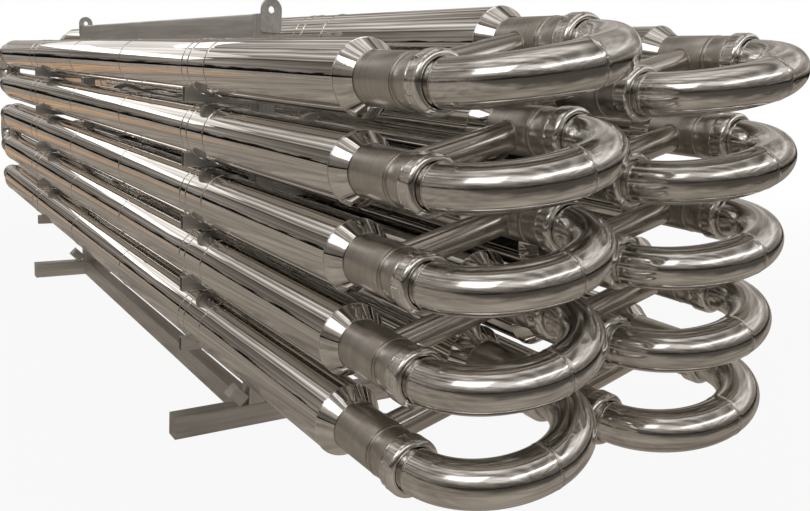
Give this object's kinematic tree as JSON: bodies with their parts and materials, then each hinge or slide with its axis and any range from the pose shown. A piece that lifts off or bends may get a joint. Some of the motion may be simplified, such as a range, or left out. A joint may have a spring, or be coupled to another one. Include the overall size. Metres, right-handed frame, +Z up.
{
  "type": "shell and tube heat exchanger",
  "caption": "Two stacked bundles of insulated tube heat exchanger shells, joined by U bends and carried on a welded steel frame",
  "frame": {"origin": "bottom centre of the bounding box, on the floor", "axes": "Y along the tubes with the front U bends at -Y, X across the four columns, Z up"},
  "size_m": [1.4838, 6.5592, 1.8269],
  "materials": {
    "mirror_cladding": "mirror polished stainless sheet",
    "brushed_shell": "brushed",
    "polished_bend": "polished tube with fine marks",
    "union_nut": "turned and polished",
    "inner_tube": "satin",
    "frame_steel": "dull satin",
    "gasket": "matte"
  },
  "bodies": {
    "root": {"left_row_1_shells": "brushed_shell", "left_row_1_front_bend": "polished_bend", "left_row_1_cladding": "mirror_cladding", "left_row_2_shells": "brushed_shell", "left_row_2_front_bend": "polished_bend", "left_row_2_cladding": "mirror_cladding", "left_row_3_shells": "brushed_shell", "left_row_3_front_bend": "polished_bend", "left_row_3_cladding": "mirror_cladding", "left_row_4_shells": "brushed_shell", "left_row_4_front_bend": "polished_bend", "left_row_4_cladding": "mirror_cladding", "left_row_5_shells": "brushed_shell", "left_row_5_front_bend": "polished_bend", "left_row_5_cladding": "mirror_cladding", "column_1_rear_bend_rows_1_2": "polished_bend", "column_1_rear_bend_rows_3_4": "polished_bend", "column_2_rear_bend_rows_2_3": "polished_bend", "column_2_rear_bend_rows_4_5": "polished_bend", "left_rear_shell_links": "brushed_shell", "left_tube_bundles": "inner_tube", "left_front_union_nuts": "union_nut", "left_rear_union_nuts": "union_nut", "left_near_post": "frame_steel", "left_near_foot": "frame_steel", "left_far_post": "frame_steel", "left_far_foot": "frame_steel", "left_base_beam": "frame_steel", "left_top_beam": "frame_steel", "right_row_1_shells": "brushed_shell", "right_row_1_front_bend": "polished_bend", "right_row_1_cladding": "mirror_cladding", "right_row_2_shells": "brushed_shell", "right_row_2_front_bend": "polished_bend", "right_row_2_cladding": "mirror_cladding", "right_row_3_shells": "brushed_shell", "right_row_3_front_bend": "polished_bend", "right_row_3_cladding": "mirror_cladding", "right_row_4_shells": "brushed_shell", "right_row_4_front_bend": "polished_bend", "right_row_4_cladding": "mirror_cladding", "right_row_5_shells": "brushed_shell", "right_row_5_front_bend": "polished_bend", "right_row_5_cladding": "mirror_cladding", "column_3_rear_bend_rows_1_2": "polished_bend", "column_3_rear_bend_rows_3_4": "polished_bend", "column_4_rear_bend_rows_2_3": "polished_bend", "column_4_rear_bend_rows_4_5": "polished_bend", "right_rear_shell_links": "brushed_shell", "right_tube_bundles": "inner_tube", "right_front_union_nuts": "union_nut", "right_rear_union_nuts": "union_nut", "right_near_post": "frame_steel", "right_near_foot": "frame_steel", "right_far_post": "frame_steel", "right_far_foot": "frame_steel", "right_base_beam": "frame_steel", "right_top_beam": "frame_steel", "union_gaskets": "gasket", "service_nozzles": "brushed_shell"}
  },
  "joints": []
}
